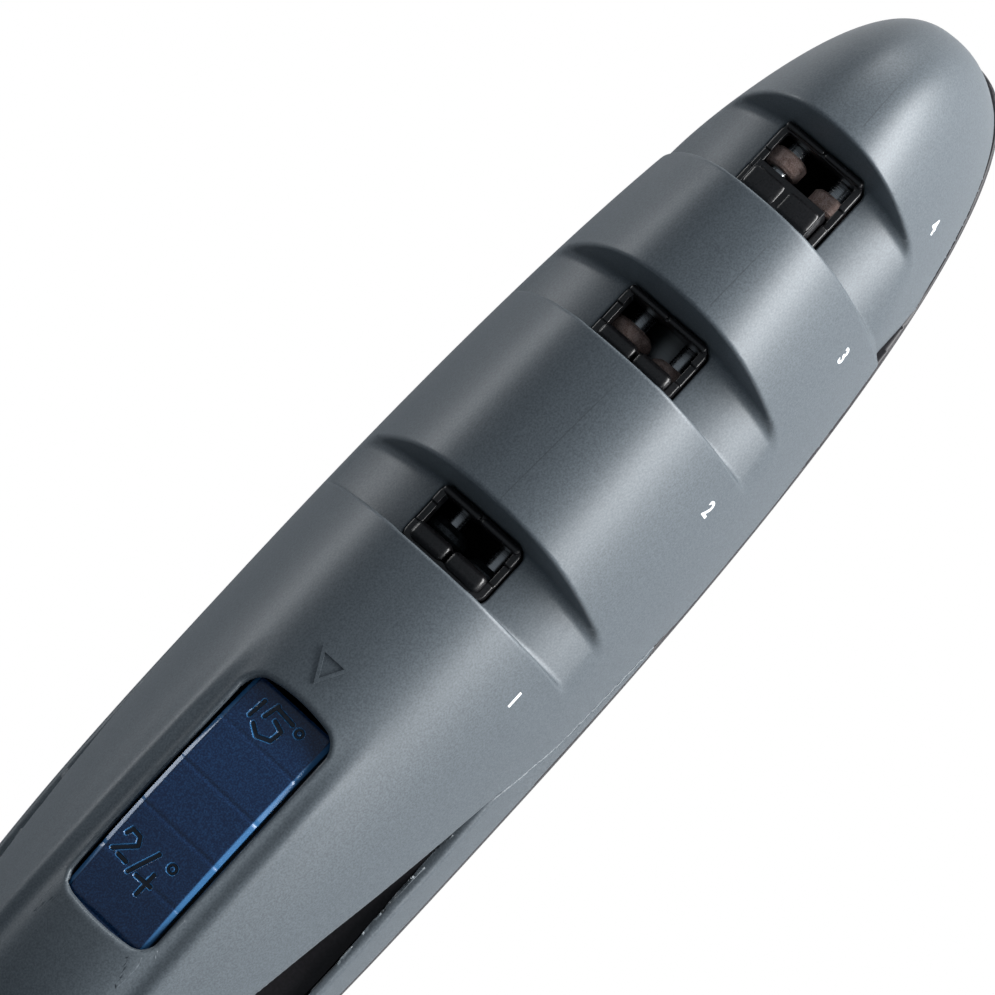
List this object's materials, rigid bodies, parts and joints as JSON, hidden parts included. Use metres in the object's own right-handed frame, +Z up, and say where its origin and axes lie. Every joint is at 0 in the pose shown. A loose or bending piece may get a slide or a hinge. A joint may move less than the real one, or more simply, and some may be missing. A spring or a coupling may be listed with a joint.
{
  "type": "electric knife sharpener",
  "caption": "Bullet-shaped electric knife sharpener with transverse knife slots, loop handle and a sliding blade-angle dial.",
  "frame": {"origin": "middle of the resting plane under the object's box", "axes": "+X towards the nose, +Y to the left side, +Z up"},
  "size_m": [0.2889, 0.068, 0.055],
  "materials": {
    "shell": "satin moulded grey with a fine metallic grain",
    "base": "fine matt black",
    "collar": "satin black",
    "dial": "translucent dark blue",
    "inner_plastic": "matt black nylon",
    "gear": "natural acetal",
    "steel": "ground",
    "diamond": "dark plated grit",
    "stone": "fine sintered ceramic",
    "can": "zinc plated",
    "button": "satin black",
    "board": "green laminate",
    "socket": "black",
    "feet": "matt"
  },
  "bodies": {
    "root": {"upper_shell": "shell", "skirt_band": "shell", "base_housing": "base", "handle_liner": "base", "rail_cover": "base", "collar_coarse": "collar", "collar_fine": "collar", "collar_scissors": "collar", "scissors_guide": "collar", "dial_cradle": "inner_plastic", "motor_can": "can", "rear_bearing_plate": "inner_plastic", "front_bearing_plate": "inner_plastic", "motor_saddle": "inner_plastic", "switch_body": "inner_plastic", "circuit_board": "board", "board_posts": "base", "inlet_socket": "socket", "rubber_feet": "feet"},
    "dial": {"angle_dial": "dial"},
    "adjuster": {"angle_link": "inner_plastic"},
    "rotor": {"motor_shaft": "steel", "motor_pinion": "gear"},
    "right_spindle": {"spindle_right": "steel", "spindle_gear_right": "gear", "wheel_coarse_right": "diamond", "wheel_fine_right": "stone", "wheel_scissors_right": "stone"},
    "left_spindle": {"spindle_left": "steel", "spindle_gear_left": "gear", "wheel_coarse_left": "diamond", "wheel_fine_left": "stone", "wheel_scissors_left": "stone"},
    "button": {"power_button": "button"}
  },
  "joints": [
    {"name": "dial_turn", "type": "hinge", "parent": "root", "child": "dial", "pos_m": [-0.058, 0, -0.077], "axis": [0, 1, 0], "range_deg": [0, 13.22]},
    {"name": "adjuster_slide", "type": "slide", "parent": "root", "child": "adjuster", "axis": [1, 0, 0], "range_m": [0, 0.0012]},
    {"name": "motor_spin", "type": "hinge", "parent": "root", "child": "rotor", "pos_m": [0.03, 0, 0.01426], "axis": [1, 0, 0], "continuous": true},
    {"name": "right_spindle_spin", "type": "hinge", "parent": "root", "child": "right_spindle", "pos_m": [0.03, -0.0055, 0.0315], "axis": [1, 0, 0], "continuous": true},
    {"name": "left_spindle_spin", "type": "hinge", "parent": "adjuster", "child": "left_spindle", "pos_m": [0.03, 0.0055, 0.0315], "axis": [1, 0, 0], "continuous": true},
    {"name": "button_press", "type": "slide", "parent": "root", "child": "button", "axis": [0, 0, 1], "range_m": [0, 0.002], "stiffness_N_per_m": 300}
  ],
  "couplings": [
    {"joint": "adjuster_slide", "follows": "dial_turn", "m_per_rad": 0.005195},
    {"joint": "right_spindle_spin", "follows": "motor_spin", "ratio": -1.25},
    {"joint": "left_spindle_spin", "follows": "motor_spin", "ratio": -1.25}
  ]
}
